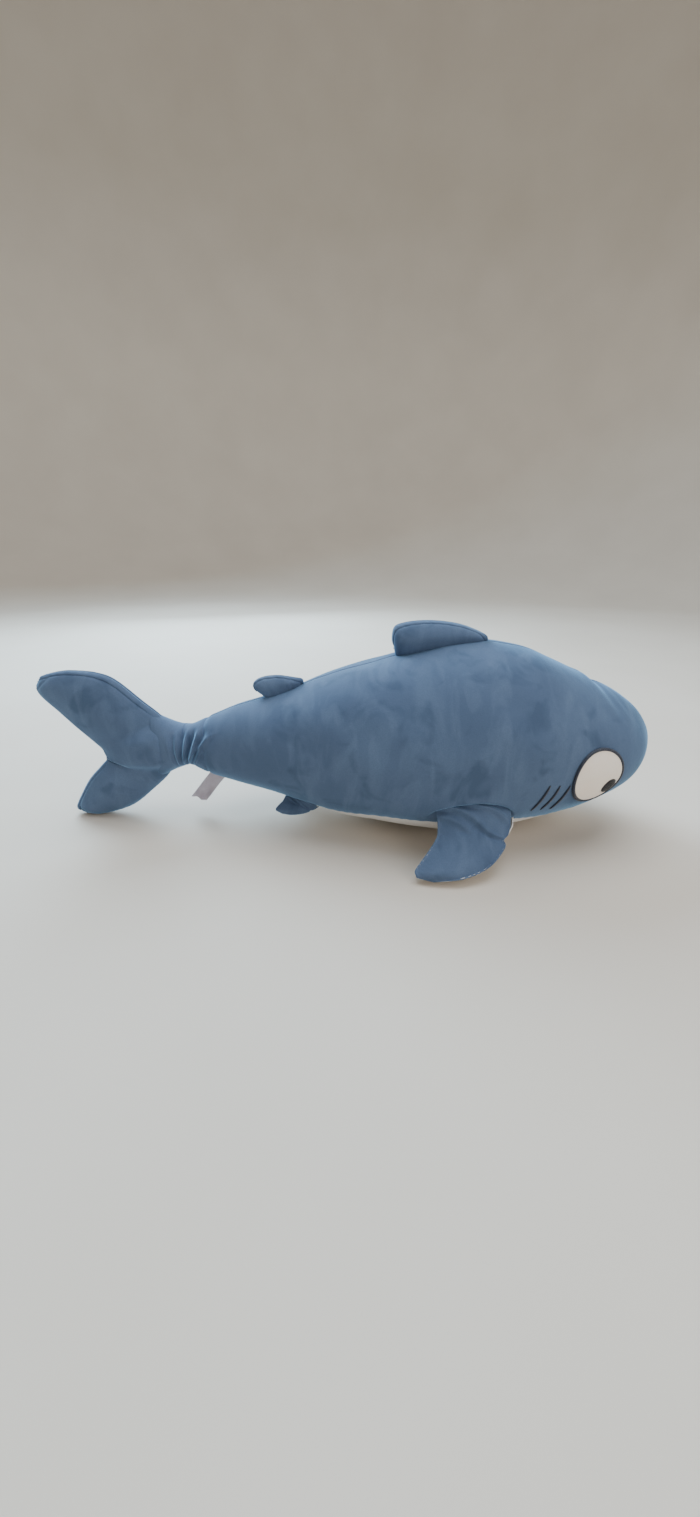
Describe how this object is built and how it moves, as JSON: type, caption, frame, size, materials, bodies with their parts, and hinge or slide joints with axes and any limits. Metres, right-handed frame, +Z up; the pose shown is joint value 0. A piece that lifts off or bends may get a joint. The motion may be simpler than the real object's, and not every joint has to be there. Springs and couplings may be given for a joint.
{
  "type": "plush shark",
  "caption": "Stuffed velour shark with a blue back, a white belly, sewn-on stuffed fins, a soft bending tail and embroidered eyes and gills.",
  "frame": {"origin": "on the floor, under the middle of the shark's length", "axes": "+X towards the nose, +Z up, the shark's left side towards +Y"},
  "size_m": [0.7751, 0.33, 0.2617],
  "materials": {
    "blue_velour": "short brushed pile",
    "white_velour": "short brushed pile",
    "eye_patch": "smooth felt",
    "navy_thread": "satin stitch",
    "black_thread": "satin stitch",
    "fibre_fill": "loose fibre",
    "label_ribbon": "thin satin ribbon"
  },
  "bodies": {
    "torso": {"body_stuffing": "fibre_fill", "back_panel_right": "blue_velour", "back_panel_left": "blue_velour", "belly_panel": "white_velour", "eye_white_right": "eye_patch", "eye_white_left": "eye_patch", "eye_rim_right": "navy_thread", "eye_rim_left": "navy_thread", "pupil_right": "black_thread", "pupil_left": "black_thread", "gill_stitches_right": "navy_thread", "gill_stitches_left": "navy_thread"},
    "tail_neck": {"neck_wad": "fibre_fill", "neck_cover": "blue_velour"},
    "tail": {"tail_stuffing": "fibre_fill", "tail_panel_right": "blue_velour", "tail_panel_left": "blue_velour"},
    "dorsal_fin": {"dorsal_stuffing": "fibre_fill", "dorsal_panel_right": "blue_velour", "dorsal_panel_left": "blue_velour"},
    "rear_dorsal_fin": {"rear_dorsal_stuffing": "fibre_fill", "rear_dorsal_panel_right": "blue_velour", "rear_dorsal_panel_left": "blue_velour"},
    "pectoral_right": {"pectoral_right_stuffing": "fibre_fill", "pectoral_right_top": "blue_velour", "pectoral_right_underside": "white_velour"},
    "pectoral_left": {"pectoral_left_stuffing": "fibre_fill", "pectoral_left_top": "blue_velour", "pectoral_left_underside": "white_velour"},
    "pelvic_right": {"pelvic_right_stuffing": "fibre_fill", "pelvic_right_top": "blue_velour", "pelvic_right_underside": "blue_velour"},
    "pelvic_left": {"pelvic_left_stuffing": "fibre_fill", "pelvic_left_top": "blue_velour", "pelvic_left_underside": "blue_velour"},
    "care_label": {"care_label": "label_ribbon"}
  },
  "joints": [
    {"name": "tail_swing", "type": "hinge", "parent": "torso", "child": "tail_neck", "pos_m": [-0.2075, 0, 0.103], "axis": [0, 0, 1], "range_deg": [-40, 40], "stiffness_Nm_per_rad": 0.8, "deforming": ["neck_cover"]},
    {"name": "tail_lift", "type": "hinge", "parent": "tail_neck", "child": "tail", "pos_m": [-0.2075, 0, 0.103], "axis": [0, 1, 0], "range_deg": [-20, 35], "stiffness_Nm_per_rad": 0.8, "deforming": ["neck_cover"]},
    {"name": "dorsal_flop", "type": "hinge", "parent": "torso", "child": "dorsal_fin", "pos_m": [0.1176, 0, 0.2419], "axis": [0.9894, 0, 0.1451], "range_deg": [-30, 30], "stiffness_Nm_per_rad": 0.3},
    {"name": "rear_dorsal_flop", "type": "hinge", "parent": "torso", "child": "rear_dorsal_fin", "pos_m": [-0.0762, 0, 0.1858], "axis": [0.9408, 0, 0.3389], "range_deg": [-35, 35], "stiffness_Nm_per_rad": 0.06},
    {"name": "pectoral_right_flap", "type": "hinge", "parent": "torso", "child": "pectoral_right", "pos_m": [0.1524, -0.1142, 0.0456], "axis": [-0.9997, 0.0097, -0.0231], "range_deg": [-15, 45], "stiffness_Nm_per_rad": 0.2},
    {"name": "pectoral_left_flap", "type": "hinge", "parent": "torso", "child": "pectoral_left", "pos_m": [0.1524, 0.1142, 0.0456], "axis": [0.9997, 0.0097, 0.0231], "range_deg": [-15, 45], "stiffness_Nm_per_rad": 0.2},
    {"name": "pelvic_right_flap", "type": "hinge", "parent": "torso", "child": "pelvic_right", "pos_m": [-0.056, -0.044, 0.0378], "axis": [-0.9601, 0.1648, 0.226], "range_deg": [-20, 35], "stiffness_Nm_per_rad": 0.03},
    {"name": "pelvic_left_flap", "type": "hinge", "parent": "torso", "child": "pelvic_left", "pos_m": [-0.056, 0.044, 0.0378], "axis": [0.9601, 0.1648, -0.226], "range_deg": [-20, 35], "stiffness_Nm_per_rad": 0.03},
    {"name": "label_swing", "type": "hinge", "parent": "torso", "child": "care_label", "pos_m": [-0.1703, 0, 0.0621], "axis": [0.9542, 0, -0.2992], "range_deg": [-70, 70]}
  ]
}
